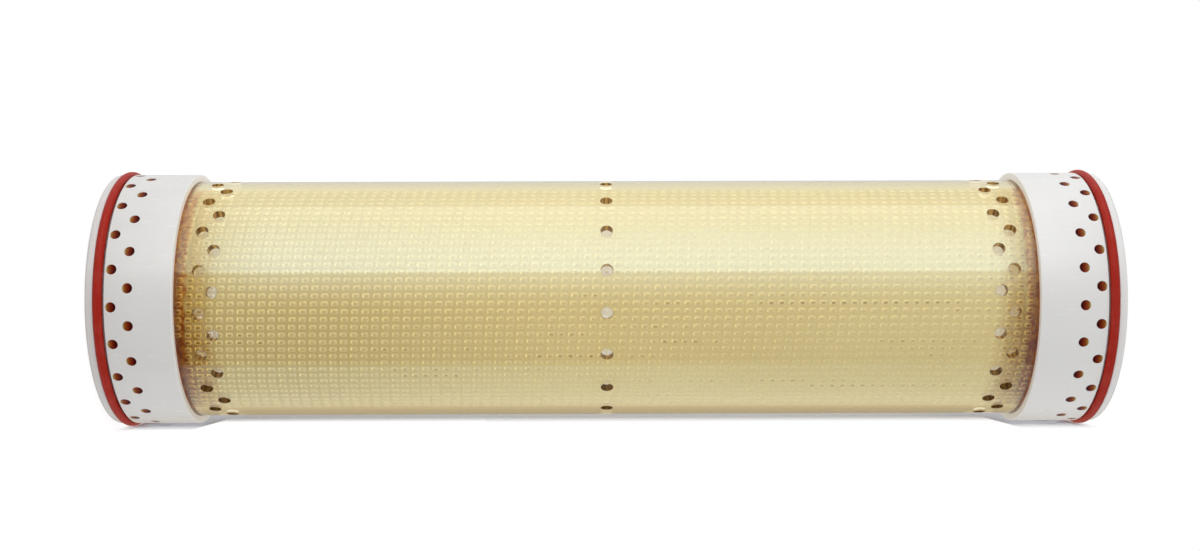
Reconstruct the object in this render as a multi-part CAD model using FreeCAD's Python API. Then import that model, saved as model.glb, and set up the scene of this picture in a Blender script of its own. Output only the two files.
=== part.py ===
import FreeCAD, Part
import math
import os

# Hollow fibre ultrafiltration cartridge, standing on its lower end face.
# Millimetres. Z is the axis of the cartridge and Z = 0 its lower end face. -Y is the front.

# Whole cartridge
overall_length = 1066.0

# End rings: the outside, and the wall round the resin and round the tube
ring_diameter = 273.0
ring_length = 89.0
ring_end_wall = 12.0
ring_seat_wall = 7.85
ring_lip_radius = 1.2

# Land and seal groove beside each end face
land_length = 8.5
land_edge_radius = 3.5
seal_section = 9.5
seal_stand_out = 3.3
seal_floor_clearance = 0.05
groove_side_play = 2.0

# Casting holes through each end ring: two rows, half a pitch apart
casting_holes_per_row = 22
casting_hole_diameter = 10.6
casting_wall_to_groove = 1.6
casting_row_step = 16.9
lower_ring_turn = 5.3
upper_ring_turn = 3.1

# Tube, and how it sits in the end rings
tube_wall = 8.7
tube_seat_clearance = 0.2
shoulder_above_casting_holes = 5.9

# Perforations: one row at mid length, and two rows half a pitch apart at each end
perforations_per_row = 18
perforation_diameter = 12.4
perforation_wall_to_resin = 6.3
perforation_row_step = 14.2
perforation_turn = 13.6

# Resin cast into each end ring
resin_past_ring = 12.0
plug_recess = 0.7

# Net sleeve: its strands are flat bars round openings
net_wall = 1.6
net_length_in_resin = 15.0
net_openings_around = 12
net_openings_along = 10
net_strand_width = 9.0

# Fibres: the outermost ones are ridges along the bundle
bundle_clearance = 1.0
bundle_ridges = 72
bundle_ridge_height = 1.6

# Radii that follow from the sizes above
ring_radius = ring_diameter / 2
bore_radius = ring_radius - ring_end_wall
seat_radius = ring_radius - ring_seat_wall
tube_radius = seat_radius - tube_seat_clearance
tube_bore_radius = tube_radius - tube_wall
net_bore_radius = tube_bore_radius - net_wall
bundle_radius = net_bore_radius - bundle_clearance
seal_radius = ring_radius + seal_stand_out - seal_section / 2
groove_floor_radius = seal_radius - seal_section / 2 - seal_floor_clearance

# Heights above the lower end face that follow from the sizes above
groove_top = land_length + seal_section + groove_side_play
outer_casting_row = groove_top + casting_wall_to_groove + casting_hole_diameter / 2
inner_casting_row = outer_casting_row + casting_row_step
shoulder = inner_casting_row + casting_hole_diameter / 2 + shoulder_above_casting_holes
resin_level = ring_length + resin_past_ring
net_foot = resin_level - net_length_in_resin
first_perforation_row = resin_level + perforation_wall_to_resin + perforation_diameter / 2
second_perforation_row = first_perforation_row + perforation_row_step


def direction(angle):
    """Unit vector square to the axis, turned by degrees from the front (-Y) towards -X."""
    turn = math.radians(angle)
    return FreeCAD.Vector(-math.sin(turn), -math.cos(turn), 0)


def revolved(outline):
    """Solid of revolution about Z, from the corners (radius, height) of its half section."""
    corners = [FreeCAD.Vector(radius, 0, height) for radius, height in outline]
    section = Part.Face(Part.makePolygon(corners + corners[:1]))
    return section.revolve(FreeCAD.Vector(0, 0, 0), FreeCAD.Vector(0, 0, 1), 360)


def circle_edges(solid, radius, height):
    """The edges of a solid that are circles about Z of this radius at this height."""
    found = []
    for edge in solid.Edges:
        box = edge.BoundBox
        level = abs(box.ZMin - height) < 1e-6 and abs(box.ZMax - height) < 1e-6
        if level and abs(box.XMax - radius) < 1e-3:
            found.append(edge)
    return found


def radial_bars(count, diameter, height, turn, inner, outer):
    """A row of round bars on radii, from one distance off the axis to another."""
    bars = []
    for number in range(count):
        way = direction(turn + number * 360.0 / count)
        start = way * inner + FreeCAD.Vector(0, 0, height)
        bars.append(Part.makeCylinder(diameter / 2, outer - inner, start, way))
    return bars


def casting_bars(turn, inner, outer):
    """A bar on every casting hole of the lower end ring."""
    half_pitch = 180.0 / casting_holes_per_row
    rows = [(inner_casting_row, turn), (outer_casting_row, turn + half_pitch)]
    bars = []
    for height, row_turn in rows:
        bars += radial_bars(casting_holes_per_row, casting_hole_diameter,
                            height, row_turn, inner, outer)
    return bars


def end_ring(turn):
    """Lower end ring, with its groove, casting holes and stepped bore for resin and tube."""
    body = revolved([
        (bore_radius, 0),
        (ring_radius, 0),
        (ring_radius, land_length),
        (groove_floor_radius, land_length),
        (groove_floor_radius, groove_top),
        (ring_radius, groove_top),
        (ring_radius, ring_length),
        (seat_radius, ring_length),
        (seat_radius, shoulder),
        (bore_radius, shoulder),
    ])
    body = body.makeFillet(land_edge_radius, circle_edges(body, ring_radius, 0))
    body = body.makeFillet(ring_lip_radius, circle_edges(body, ring_radius, ring_length))
    overrun = casting_hole_diameter / 2
    return body.cut(casting_bars(turn, bore_radius - overrun, ring_radius + overrun))


def o_ring():
    """Seal ring against the outer side of the lower end ring's groove."""
    return Part.makeTorus(seal_radius, seal_section / 2,
                          FreeCAD.Vector(0, 0, land_length + seal_section / 2))


def fibre_bundle():
    """Fibres from end face to end face, as one ridged bar."""
    half_pitch = 180.0 / bundle_ridges
    corners = []
    for number in range(bundle_ridges):
        angle = 2 * number * half_pitch
        corners.append(direction(angle) * bundle_radius)
        corners.append(direction(angle + half_pitch) * (bundle_radius - bundle_ridge_height))
    section = Part.Face(Part.makePolygon(corners + corners[:1]))
    return section.extrude(FreeCAD.Vector(0, 0, overall_length))


def potting(turn, bundle):
    """Resin of the lower end: a stepped block round the fibres, and a plug per casting hole."""
    block = revolved([
        (0, 0),
        (bore_radius, 0),
        (bore_radius, shoulder),
        (tube_bore_radius, shoulder),
        (tube_bore_radius, net_foot),
        (net_bore_radius, net_foot),
        (net_bore_radius, resin_level),
        (0, resin_level),
    ])
    plugs = casting_bars(turn, bore_radius - casting_hole_diameter / 2,
                         ring_radius - plug_recess)
    return block.multiFuse(plugs).cut(bundle)


def shell_tube():
    """Clear tube from shoulder to shoulder, with five rows of perforations."""
    body = revolved([
        (tube_bore_radius, shoulder),
        (tube_radius, shoulder),
        (tube_radius, overall_length - shoulder),
        (tube_bore_radius, overall_length - shoulder),
    ])
    staggered_turn = perforation_turn + 180.0 / perforations_per_row
    rows = [
        (first_perforation_row, perforation_turn),
        (second_perforation_row, staggered_turn),
        (overall_length / 2, perforation_turn),
        (overall_length - second_perforation_row, staggered_turn),
        (overall_length - first_perforation_row, perforation_turn),
    ]
    overrun = perforation_diameter / 2
    bars = []
    for height, turn in rows:
        bars += radial_bars(perforations_per_row, perforation_diameter, height, turn,
                            tube_bore_radius - overrun, tube_radius + overrun)
    return body.cut(bars)


def net_sleeve():
    """Net round the fibres, against the tube, with both ends held in the resin."""
    body = revolved([
        (net_bore_radius, net_foot),
        (tube_bore_radius, net_foot),
        (tube_bore_radius, overall_length - net_foot),
        (net_bore_radius, overall_length - net_foot),
    ])
    row_pitch = (overall_length - 2 * resin_level) / net_openings_along
    opening_height = row_pitch - net_strand_width
    opening_width = 2 * math.pi * tube_bore_radius / net_openings_around - net_strand_width
    inner = net_bore_radius / 2
    openings = []
    for row in range(net_openings_along):
        foot = resin_level + row * row_pitch + net_strand_width / 2
        for number in range(net_openings_around):
            corner = FreeCAD.Vector(inner, -opening_width / 2, foot)
            opening = Part.makeBox(tube_radius - inner, opening_width, opening_height, corner)
            opening.rotate(FreeCAD.Vector(0, 0, 0), FreeCAD.Vector(0, 0, 1),
                           number * 360.0 / net_openings_around)
            openings.append(opening)
    return body.cut(openings)


def at_upper_end(shape):
    """A piece of the lower end, turned end for end to the upper one."""
    turned = shape.copy()
    middle = FreeCAD.Vector(0, 0, overall_length / 2)
    turned.rotate(middle, FreeCAD.Vector(1, 0, 0), 180)
    return turned


bundle = fibre_bundle()
nodes = {
    "shell_tube": shell_tube(),
    "lower_end_ring": end_ring(lower_ring_turn),
    "upper_end_ring": at_upper_end(end_ring(upper_ring_turn)),
    "lower_o_ring": o_ring(),
    "upper_o_ring": at_upper_end(o_ring()),
    "lower_potting": potting(lower_ring_turn, bundle),
    "upper_potting": at_upper_end(potting(upper_ring_turn, bundle)),
    "net_sleeve": net_sleeve(),
    "fibre_bundle": bundle,
}

os.makedirs("parts", exist_ok=True)
for name, shape in nodes.items():
    shape.exportStep("parts/" + name + ".step")
    litres = shape.Volume / 1e6
    print(name, len(shape.Solids), "solid", shape.isValid(), round(litres, 3), "litres")
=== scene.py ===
"""Looks of the hollow fibre ultrafiltration cartridge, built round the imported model.

Metres. Z is the axis of the cartridge, Z = 0 its lower end face, and -Y the side that the camera sees.
"""
import logging
import math
from dataclasses import dataclass, field
from enum import Enum
from typing import Any, Sequence, TypeAlias

import bpy
from mathutils import Matrix, Vector


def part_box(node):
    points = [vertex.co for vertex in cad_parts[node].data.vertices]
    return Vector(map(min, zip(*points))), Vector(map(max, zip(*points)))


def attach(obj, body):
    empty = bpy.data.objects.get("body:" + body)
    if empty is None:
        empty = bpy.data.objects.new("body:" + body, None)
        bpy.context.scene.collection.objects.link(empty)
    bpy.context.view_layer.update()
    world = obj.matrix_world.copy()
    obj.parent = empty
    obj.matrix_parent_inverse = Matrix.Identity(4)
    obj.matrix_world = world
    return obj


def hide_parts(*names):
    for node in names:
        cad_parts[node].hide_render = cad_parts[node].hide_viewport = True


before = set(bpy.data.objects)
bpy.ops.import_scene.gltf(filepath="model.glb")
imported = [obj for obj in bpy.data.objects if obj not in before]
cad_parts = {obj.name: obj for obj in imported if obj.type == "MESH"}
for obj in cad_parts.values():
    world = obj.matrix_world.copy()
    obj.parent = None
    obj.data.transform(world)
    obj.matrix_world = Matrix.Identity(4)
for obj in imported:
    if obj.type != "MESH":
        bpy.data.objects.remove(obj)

log = logging.getLogger("cartridge")

Object: TypeAlias = bpy.types.Object
Material: TypeAlias = bpy.types.Material
Operand: TypeAlias = "Expression | float"
Pair: TypeAlias = tuple[float, float]
Triple: TypeAlias = tuple[float, float, float]
Colour: TypeAlias = Triple

MM = 0.001
ON_AXIS = 1e-9
BODY = "root"
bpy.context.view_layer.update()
LOWER_RING_TURN = 5.3  # degrees about the axis, as are all turns
UPPER_RING_TURN = 3.1


class End(Enum):
    """The two ends of the cartridge."""

    LOWER = "lower"
    UPPER = "upper"


class Socket(Enum):
    """Kinds of input that a geometry tree offers."""

    LENGTH = "NodeSocketFloat"
    COUNT = "NodeSocketInt"
    OBJECT = "NodeSocketObject"
    MATERIAL = "NodeSocketMaterial"
    GEOMETRY = "NodeSocketGeometry"


class Expression:
    """An output socket in a node tree, whose arithmetic adds Math nodes."""

    def __init__(self, tree: "NodeTree", socket: bpy.types.NodeSocket) -> None:
        """Wraps one socket.

        Args:
            tree: The tree that the socket belongs to.
            socket: The output that the expression stands for.
        """
        self.tree = tree
        self.socket = socket

    def _math(self, operation: str, *values: Operand) -> "Expression":
        """One Math node on the given values."""
        inputs = dict(enumerate(values))
        return self.tree.node("ShaderNodeMath", {"operation": operation}, inputs)

    def __add__(self, other: Operand) -> "Expression":
        """Sum."""
        return self._math("ADD", self, other)

    def __radd__(self, other: float) -> "Expression":
        """Sum, with a number first."""
        return self._math("ADD", other, self)

    def __sub__(self, other: Operand) -> "Expression":
        """Difference."""
        return self._math("SUBTRACT", self, other)

    def __rsub__(self, other: float) -> "Expression":
        """Difference, with a number first."""
        return self._math("SUBTRACT", other, self)

    def __mul__(self, other: Operand) -> "Expression":
        """Product."""
        return self._math("MULTIPLY", self, other)

    def __rmul__(self, other: float) -> "Expression":
        """Product, with a number first."""
        return self._math("MULTIPLY", other, self)

    def __truediv__(self, other: Operand) -> "Expression":
        """Quotient."""
        return self._math("DIVIDE", self, other)

    def __mod__(self, other: Operand) -> "Expression":
        """Remainder, as Math's Floored Modulo gives it."""
        return self._math("FLOORED_MODULO", self, other)

    def __gt__(self, other: Operand) -> "Expression":
        """1 where this is larger, and 0 elsewhere."""
        return self._math("GREATER_THAN", self, other)

    def __lt__(self, other: Operand) -> "Expression":
        """1 where this is smaller, and 0 elsewhere."""
        return self._math("LESS_THAN", self, other)

    def __abs__(self) -> "Expression":
        """Distance from zero."""
        return self._math("ABSOLUTE", self)

    def floor(self) -> "Expression":
        """The whole number below."""
        return self._math("FLOOR", self)

    def round(self) -> "Expression":
        """The nearest whole number."""
        return self._math("ROUND", self)

    def sine(self) -> "Expression":
        """Sine of an angle in radians."""
        return self._math("SINE", self)

    def cosine(self) -> "Expression":
        """Cosine of an angle in radians."""
        return self._math("COSINE", self)

    def larger(self, other: Operand) -> "Expression":
        """The larger of two values."""
        return self._math("MAXIMUM", self, other)

    def smaller(self, other: Operand) -> "Expression":
        """The smaller of two values."""
        return self._math("MINIMUM", self, other)

    def angle_from(self, other: "Expression") -> "Expression":
        """Arctangent of this over another value, in radians."""
        return self._math("ARCTAN2", self, other)

    def step(self, start: float, end: float) -> "Expression":
        """Smooth step from 0 at start to 1 at end, or falling where end is the smaller.

        Args:
            start: The value that gives 0.
            end: The value that gives 1.

        Returns:
            The stepped value, from 0 to 1.
        """
        settings = {"interpolation_type": "SMOOTHSTEP"}
        if start < end:
            return self.tree.node("ShaderNodeMapRange", settings, {0: self, 1: start, 2: end})
        falling = {0: self, 1: end, 2: start, 3: 1.0, 4: 0.0}
        return self.tree.node("ShaderNodeMapRange", settings, falling)


class NodeTree:
    """A node tree that is written as calls and expressions."""

    def __init__(self, tree: bpy.types.NodeTree) -> None:
        """Wraps one tree of shader or geometry nodes."""
        self.tree = tree

    def node(self, kind: str, settings: dict[str, Any] | None = None,
             inputs: dict[str | int, Any] | None = None, output: str | int = 0) -> Expression:
        """Adds a node.

        Args:
            kind: The node's type name.
            settings: Its properties, set first. "stops" gives a ramp's positions and colours.
            inputs: Values or links of its sockets, by name or number.
            output: The output to return, by name or number.

        Returns:
            The chosen output.
        """
        made = self.tree.nodes.new(kind)
        for name, value in (settings or {}).items():
            if name == "stops":
                self._set_stops(made.color_ramp, value)
            else:
                setattr(made, name, value)
        for key, value in (inputs or {}).items():
            self._feed(self._input(made, key), value)
        if isinstance(output, int):
            return Expression(self, made.outputs[output])
        named = [out for out in made.outputs if out.name == output and out.enabled]
        return Expression(self, named[0])

    @staticmethod
    def _set_stops(ramp: bpy.types.ColorRamp, stops: Sequence[tuple[float, Colour]]) -> None:
        """Gives a colour ramp its stops.

        Args:
            ramp: The ramp.
            stops: Position and colour of each stop.
        """
        while len(ramp.elements) < len(stops):
            ramp.elements.new(1.0)
        for element, (position, colour) in zip(ramp.elements, stops):
            element.position = position
            element.color = (*colour, 1.0)

    @staticmethod
    def _input(made: bpy.types.Node, key: str | int) -> bpy.types.NodeSocket:
        """The input of a node that a name or number means.

        Args:
            made: The node.
            key: Name or number of the input.

        Returns:
            The input.
        """
        if isinstance(key, int):
            return made.inputs[key]
        return [socket for socket in made.inputs if socket.name == key and socket.enabled][0]

    def _feed(self, socket: bpy.types.NodeSocket, value: Any) -> None:
        """Links a socket to an expression, to several, or sets its value.

        Args:
            socket: The input to feed.
            value: An expression, a list of them, or a plain value.
        """
        if isinstance(value, Expression):
            self.tree.links.new(value.socket, socket)
        elif isinstance(value, list):
            for each in reversed(value):
                self.tree.links.new(each.socket, socket)
        elif isinstance(value, tuple) and len(value) == 3 and socket.type == "RGBA":
            socket.default_value = (*value, 1.0)
        else:
            socket.default_value = value

    def vector(self, x: Operand, y: Operand, z: Operand) -> Expression:
        """A vector from three values."""
        return self.node("ShaderNodeCombineXYZ", None, {"X": x, "Y": y, "Z": z})

    def parts(self, vector: Expression) -> tuple[Expression, Expression, Expression]:
        """The three values of a vector."""
        split = self.node("ShaderNodeSeparateXYZ", None, {0: vector}).socket.node
        return tuple(Expression(self, out) for out in split.outputs)

    def ray(self, fact: str) -> Expression:
        """What the Light Path node tells of a ray."""
        return self.node("ShaderNodeLightPath", output=fact)


class Finish(NodeTree):
    """A material's node tree, with its surface shader."""

    def __init__(self, name: str) -> None:
        """Makes an empty material of this name.

        Args:
            name: The material's name.
        """
        self.material = bpy.data.materials.new(name)
        self.material.use_nodes = True
        super().__init__(self.material.node_tree)
        self.tree.nodes.clear()
        self.place = self.node("ShaderNodeTexCoord", output="Object")
        self.x, self.y, self.height = self.parts(self.place)

    def around(self) -> Expression:
        """Angle about the axis, in radians."""
        return self.y.angle_from(self.x)

    def from_end(self, length: float) -> Expression:
        """Height above the nearer end face of a cartridge of this length."""
        return self.height.smaller(length - self.height)

    def mark(self, name: str) -> Expression:
        """Value of a named attribute of the mesh."""
        return self.node("ShaderNodeAttribute", {"attribute_name": name}, None, "Fac")

    def noise(self, scale: float, detail: float = 3.0, vector: Expression | None = None,
              stretch: Triple = (1.0, 1.0, 1.0), roughness: float = 0.5) -> Expression:
        """Noise from 0 to 1.

        Args:
            scale: Size of the pattern, in cells to the metre.
            detail: Octaves.
            vector: Where it is read, or else the object's coordinates.
            stretch: Scale along each axis.
            roughness: Weight of the finer octaves.

        Returns:
            The noise value.
        """
        where = self.node("ShaderNodeMapping", None,
                          {"Vector": vector or self.place, "Scale": stretch})
        inputs = {"Vector": where, "Scale": scale, "Detail": detail, "Roughness": roughness}
        return self.node("ShaderNodeTexNoise", None, inputs)

    def mix(self, share: Operand, first: Expression | Colour,
            second: Expression | Colour) -> Expression:
        """Colour between two others."""
        inputs = {"Factor": share, "A": first, "B": second}
        return self.node("ShaderNodeMix", {"data_type": "RGBA"}, inputs, "Result")

    def relief(self, height: Expression, depth: float, strength: float = 1.0) -> Expression:
        """Normal of a surface that a value from 0 to 1 raises by a depth in metres."""
        inputs = {"Strength": strength, "Distance": depth, "Height": height}
        return self.node("ShaderNodeBump", None, inputs)

    def blend(self, share: Expression, first: Expression, second: Expression) -> Expression:
        """Shader between two others."""
        return self.node("ShaderNodeMixShader", None, {0: share, 1: first, 2: second})

    def _principled(self, inputs: dict[str, Any]) -> Expression:
        """A Principled shader, with underscores for the spaces in the names of its inputs."""
        named = {name.replace("_", " "): value for name, value in inputs.items()}
        return self.node("ShaderNodeBsdfPrincipled", None, named)

    def surface(self, **inputs: Any) -> Material:
        """Ends the material in a Principled shader.

        Args:
            **inputs: The shader's values or links, with underscores for spaces.

        Returns:
            The finished material.
        """
        return self.node_output(self._principled(inputs))

    def lets_light_through(self, tint: Colour, clear_behind: bool = False,
                           **inputs: Any) -> Material:
        """Ends the material in a Principled shader that lamp light passes, tinted.

        Args:
            tint: What passes at each of its surfaces.
            clear_behind: True where the back of the faces is clear, as a cut in clear plastic is.
            **inputs: As for surface().

        Returns:
            The finished material.
        """
        clear = self.node("ShaderNodeBsdfTransparent", None, {"Color": tint})
        passes = self.ray("Is Shadow Ray").larger(self.ray("Diffuse Depth").smaller(1.0))
        if clear_behind:
            passes = passes.larger(self.node("ShaderNodeNewGeometry", output="Backfacing"))
        return self.node_output(self.blend(passes, self._principled(inputs), clear))

    def node_output(self, shader: Expression) -> Material:
        """Links a shader to the material's surface, and returns the finished material.

        Args:
            shader: The shader that ends the material.

        Returns:
            The finished material.
        """
        out = self.tree.nodes.new("ShaderNodeOutputMaterial")
        self.tree.links.new(shader.socket, out.inputs["Surface"])
        return self.material


class GeometryTree(NodeTree):
    """A geometry tree with named inputs, run once on an object to make a plain mesh."""

    def __init__(self, name: str) -> None:
        """Makes a tree whose first input and only output are geometry.

        Args:
            name: The tree's name.
        """
        group = bpy.data.node_groups.new(name, "GeometryNodeTree")
        group.is_modifier = True
        super().__init__(group)
        self.values: dict[str, Any] = {}
        self.entry = group.nodes.new("NodeGroupInput")
        group.interface.new_socket("Geometry", in_out="INPUT", socket_type=Socket.GEOMETRY.value)
        group.interface.new_socket("Geometry", in_out="OUTPUT", socket_type=Socket.GEOMETRY.value)
        self.geometry = Expression(self, self.entry.outputs[0])

    def input(self, name: str, kind: Socket, value: Any) -> Expression:
        """Adds a named input.

        Args:
            name: The input's name.
            kind: What it takes.
            value: What the modifier sets it to.

        Returns:
            The input, as an expression in the tree.
        """
        item = self.tree.interface.new_socket(name, in_out="INPUT", socket_type=kind.value)
        self.values[item.identifier] = value
        found = [out for out in self.entry.outputs if out.identifier == item.identifier]
        return Expression(self, found[0])

    def finish(self, result: Expression, material: Expression) -> Expression:
        """Realizes the instances and gives the result its material."""
        real = self.node("GeometryNodeRealizeInstances", None, {"Geometry": result})
        return self.node("GeometryNodeSetMaterial", None, {"Geometry": real, "Material": material})

    def shape(self, obj: Expression) -> Expression:
        """The geometry of an object that an input holds."""
        return self.node("GeometryNodeObjectInfo", None, {"Object": obj}, "Geometry")

    def random(self, low: float, high: float, **inputs: Any) -> Expression:
        """A random value for each element, with Seed and, where it has one, ID."""
        values = {"Min": low, "Max": high, **inputs}
        return self.node("FunctionNodeRandomValue", {"data_type": "FLOAT"}, values, "Value")

    def in_rows(self, shape: Expression, rows: Sequence[Pair], count: Expression,
                radius: Expression) -> Expression:
        """Instances in rows round the axis, each with its own Z outwards.

        Args:
            shape: The geometry to repeat.
            rows: Height and turn of each row.
            count: How many a row has.
            radius: How far from the axis they stand.

        Returns:
            The instances.
        """
        circles = []
        for number, (height, turn) in enumerate(rows):
            level = self.input(f"Height {number}", Socket.LENGTH, height)
            angle = self.input(f"Turn {number}", Socket.LENGTH, turn_from_x(turn))
            circle = self.node("GeometryNodeMeshCircle", None, {"Vertices": count, "Radius": radius})
            circles.append(self.node("GeometryNodeTransform", None, {
                "Geometry": circle,
                "Translation": self.vector(0.0, 0.0, level),
                "Rotation": self.vector(0.0, 0.0, angle),
            }))
        points = self.node("GeometryNodeJoinGeometry", None, {"Geometry": circles})
        x, y, _ = self.parts(self.node("GeometryNodeInputPosition"))
        outward = self.node("FunctionNodeAlignRotationToVector", {"axis": "Z"},
                            {"Vector": self.vector(x, y, 0.0)})
        return self.node("GeometryNodeInstanceOnPoints", None,
                         {"Points": points, "Instance": shape, "Rotation": outward})

    def run(self, obj: Object, result: Expression) -> Object:
        """Runs the tree on an object and keeps the result as its plain mesh.

        Args:
            obj: The object whose mesh is the tree's geometry.
            result: What the tree puts out.

        Returns:
            The same object.
        """
        out = self.tree.nodes.new("NodeGroupOutput")
        self.tree.links.new(result.socket, out.inputs[0])
        modifier = obj.modifiers.new(self.tree.name, "NODES")
        modifier.node_group = self.tree
        for identifier, value in self.values.items():
            modifier[identifier] = value
        bpy.context.view_layer.update()
        graph = bpy.context.evaluated_depsgraph_get()
        made = bpy.data.meshes.new_from_object(obj.evaluated_get(graph))
        obj.modifiers.remove(modifier)
        obj.data = made
        return obj


@dataclass(frozen=True)
class Corner:
    """A corner of a half section: its radius, its height and the fillet that rounds it."""

    radius: float
    height: float
    fillet: float = 0.0


def rounded(corners: Sequence[Corner], pieces: int = 4) -> list[Pair]:
    """Points of a closed outline with its corners rounded.

    Args:
        corners: The outline's corners, in order.
        pieces: Straight pieces in each fillet.

    Returns:
        Points as (radius, height).
    """
    points: list[Pair] = []
    for number, corner in enumerate(corners):
        here = Vector((corner.radius, corner.height))
        if corner.fillet <= 0:
            points.append((here.x, here.y))
            continue
        before = corners[number - 1]
        after = corners[(number + 1) % len(corners)]
        back = (Vector((before.radius, before.height)) - here).normalized()
        on = (Vector((after.radius, after.height)) - here).normalized()
        half = back.angle(on) / 2
        reach = corner.fillet / math.tan(half)
        centre = here + (back + on).normalized() * (corner.fillet / math.sin(half))
        start, end = here + back * reach, here + on * reach
        for piece in range(pieces + 1):
            way = (start - centre).lerp(end - centre, piece / pieces).normalized()
            point = centre + way * corner.fillet
            points.append((point.x, point.y))
    return points


def ring_points(radius: float, height: float, count: int) -> list[Triple]:
    """Points evenly round the axis, the first of them on +X."""
    angles = [2 * math.pi * number / count for number in range(count)]
    return [(radius * math.cos(angle), radius * math.sin(angle), height) for angle in angles]


def band(count: int) -> list[tuple[int, ...]]:
    """Faces between the first and the second ring of a mesh, with this many points each."""
    return [(n, (n + 1) % count, count + (n + 1) % count, count + n) for n in range(count)]


def turned(name: str, outline: Sequence[Pair], segments: int) -> Object:
    """Mesh of revolution about Z from a closed outline.

    Args:
        name: Name of the object.
        outline: Points as (radius, height), anticlockwise seen with Z up and the radius to the right.
        segments: Faces around. A point on the axis becomes one vertex.

    Returns:
        The new object, linked to the scene.
    """
    vertices: list[Triple] = []
    rings: list[list[int]] = []
    for radius, height in outline:
        count = segments if radius > ON_AXIS else 1
        rings.append(list(range(len(vertices), len(vertices) + count)))
        vertices += ring_points(radius, height, count)
    faces: list[tuple[int, ...]] = []
    for here, there in zip(rings, rings[1:] + rings[:1]):
        if len(here) == 1 and len(there) == 1:
            continue
        for number in range(segments):
            after = (number + 1) % segments
            corners = (here[number % len(here)], here[after % len(here)],
                       there[after % len(there)], there[number % len(there)])
            faces.append(tuple(dict.fromkeys(corners)))
    return mesh_object(name, vertices, faces)


def mesh_object(name: str, vertices: Sequence[Sequence[float]],
                faces: Sequence[Sequence[int]]) -> Object:
    """A new object with this mesh, linked to the scene.

    Args:
        name: Name of the object and of its mesh.
        vertices: Place of each point.
        faces: Numbers of the points round each face.

    Returns:
        The new object.
    """
    mesh = bpy.data.meshes.new(name)
    mesh.from_pydata(vertices, [], faces)
    mesh.validate()
    obj = bpy.data.objects.new(name, mesh)
    bpy.context.scene.collection.objects.link(obj)
    return obj


def mark_points(obj: Object, name: str, values: Sequence[float]) -> Object:
    """Gives each point of an object its value of a new attribute.

    Args:
        obj: The object.
        name: Name of the attribute.
        values: One value for each point, in their order.

    Returns:
        The same object.
    """
    marks = obj.data.attributes.new(name, "FLOAT", "POINT")
    marks.data.foreach_set("value", values)
    return obj


def smooth(obj: Object, limit: float = 32.0) -> Object:
    """Shades an object smooth, apart from edges that turn by more than a limit.

    Args:
        obj: The object.
        limit: The largest turn that still looks smooth, in degrees.

    Returns:
        The same object.
    """
    mesh = obj.data
    mesh.polygons.foreach_set("use_smooth", [True] * len(mesh.polygons))
    mesh.set_sharp_from_angle(angle=math.radians(limit))
    return obj


def turn_from_x(angle: float) -> float:
    """Radians from +X for an angle in degrees from the front (-Y) towards -X."""
    return -math.radians(90.0 + angle)


def turn_over(obj: Object, length: float) -> Object:
    """Turns a piece end for end in a cartridge of this length.

    Args:
        obj: The piece, built for the lower end.
        length: Length of the cartridge.

    Returns:
        The same object.
    """
    lift = Matrix.Translation((0, 0, length))
    obj.data.transform(lift @ Matrix.Rotation(math.pi, 4, "X"))
    return obj


def toned(colour: Colour, share: float) -> Colour:
    """A colour darkened or brightened to a share of itself."""
    return tuple(part * share for part in colour)


def remove(obj: Object) -> None:
    """Deletes a helper object."""
    bpy.data.objects.remove(obj)


@dataclass(frozen=True)
class Sizes:
    """Sizes of the cartridge, in metres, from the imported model's boxes."""

    length: float
    ring_radius: float
    ring_length: float
    tube_radius: float
    tube_foot: float
    net_outside: float
    net_foot: float
    resin_level: float
    bundle_radius: float

    @classmethod
    def from_frame(cls) -> "Sizes":
        """Reads the sizes off the frame.

        Returns:
            The sizes.
        """
        ring_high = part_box("lower_end_ring")[1]
        tube_low, tube_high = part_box("shell_tube")
        net_low, net_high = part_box("net_sleeve")
        return cls(
            length=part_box("fibre_bundle")[1].z,
            ring_radius=ring_high.x,
            ring_length=ring_high.z,
            tube_radius=tube_high.x,
            tube_foot=tube_low.z,
            net_outside=net_high.x,
            net_foot=net_low.z,
            resin_level=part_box("lower_potting")[1].z,
            bundle_radius=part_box("fibre_bundle")[1].x,
        )


@dataclass(frozen=True)
class WhitePlastic:
    """Moulded and turned white plastic of the end rings, with the upper ring painted paler as painted
    light.
    """

    colour: Colour = (0.845, 0.835, 0.817)
    shade: Colour = (0.825, 0.815, 0.800)
    upper_painted_light: Colour = (0.895, 0.888, 0.872)
    upper_painted_light_share: float = 0.9
    lip_painted_light: Colour = (0.93, 0.915, 0.88)
    lip_depth: float = 1.0 * MM
    roughness: float = 0.27

    def material(self, length: float, brim: float) -> Material:
        """Builds the material: faint clouding, lathe marks and fine scuffs, with painted light on the
        upper ring and on the inner face.

        Args:
            length: Length of the cartridge.
            brim: Height above an end face of the ring's inner face, which is painted paler as painted
                light.

        Returns:
            The material.
        """
        made = Finish("ring_white")
        from_end = made.from_end(length)
        cloud = made.noise(14.0, 2.0)
        marks = made.noise(900.0, 2.0, made.vector(0.0, 0.0, made.height))
        scuffs = made.noise(260.0, 4.0, stretch=(1.0, 1.0, 0.25)).step(0.62, 0.78)
        colour = made.mix(cloud.step(0.35, 0.7), self.colour, self.shade)
        # Painted light: the upper ring is painted paler, as if lit more brightly.
        upper = made.height > length / 2
        colour = made.mix(upper * self.upper_painted_light_share, colour, self.upper_painted_light)
        # Painted light: the inner face by the tube is painted paler.
        colour = made.mix(from_end.step(brim - self.lip_depth, brim - 0.2 * MM), colour, self.lip_painted_light)
        relief = made.relief(marks, 0.02 * MM, 0.35)
        return made.surface(Base_Color=colour, Roughness=self.roughness + scuffs * 0.04,
                            IOR=1.49, Normal=relief)


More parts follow.
